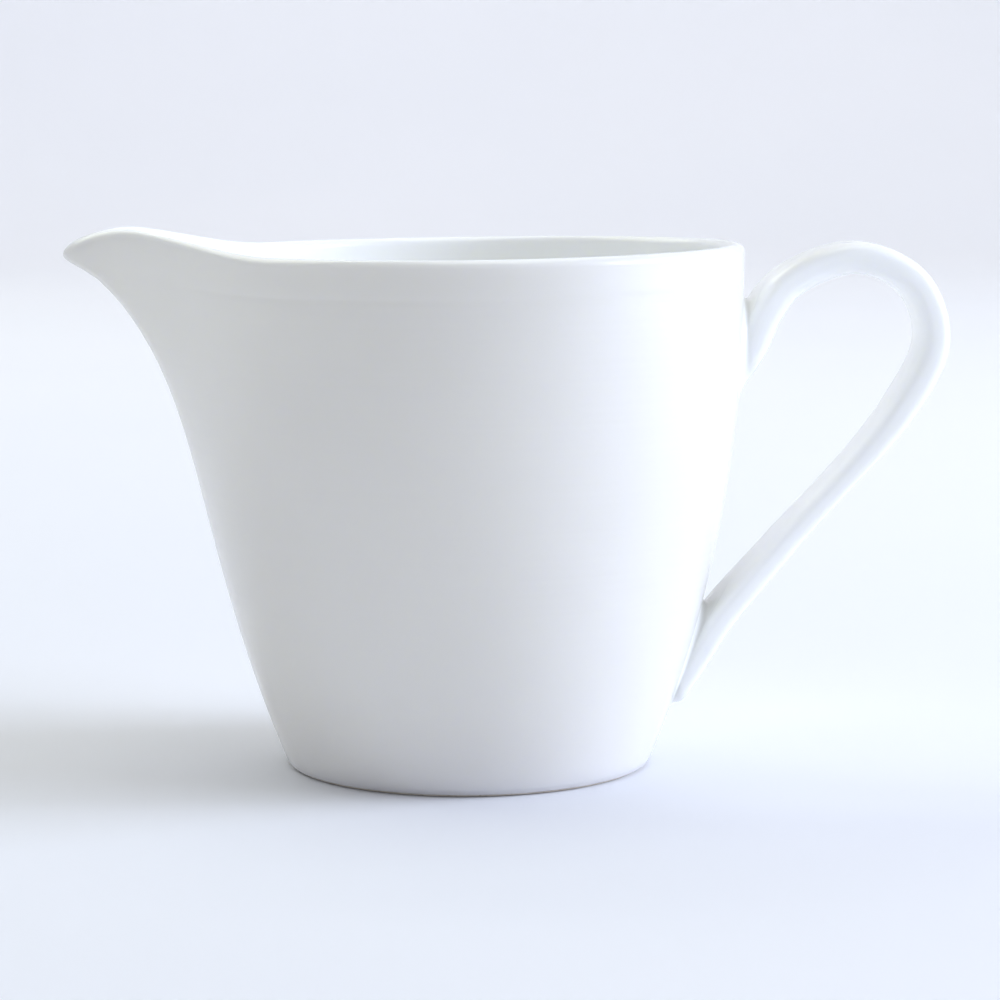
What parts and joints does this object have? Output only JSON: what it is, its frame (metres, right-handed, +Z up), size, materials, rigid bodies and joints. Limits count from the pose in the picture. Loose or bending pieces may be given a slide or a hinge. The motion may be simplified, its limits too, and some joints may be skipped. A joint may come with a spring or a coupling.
{
  "type": "cream jug",
  "caption": "White glazed porcelain cream jug with a tapered round body, a pulled pouring spout, a looped strap handle and a narrow unglazed foot.",
  "frame": {"origin": "on the table, under the middle of the jug's bounding box", "axes": "+Z up, +X from the spout towards the handle, +Y across; the jug is symmetric about the XZ plane"},
  "size_m": [0.1292, 0.0806, 0.0787],
  "materials": {
    "white_glaze": "clear gloss glaze over white porcelain",
    "glazed_slip": "gloss glaze over luting slip",
    "unglazed_porcelain": "ground, unglazed, matt"
  },
  "bodies": {
    "root": {"body": "white_glaze", "handle": "white_glaze", "handle_upper_slip_joint": "glazed_slip", "handle_lower_slip_joint": "glazed_slip", "foot_ring": "unglazed_porcelain"}
  },
  "joints": []
}
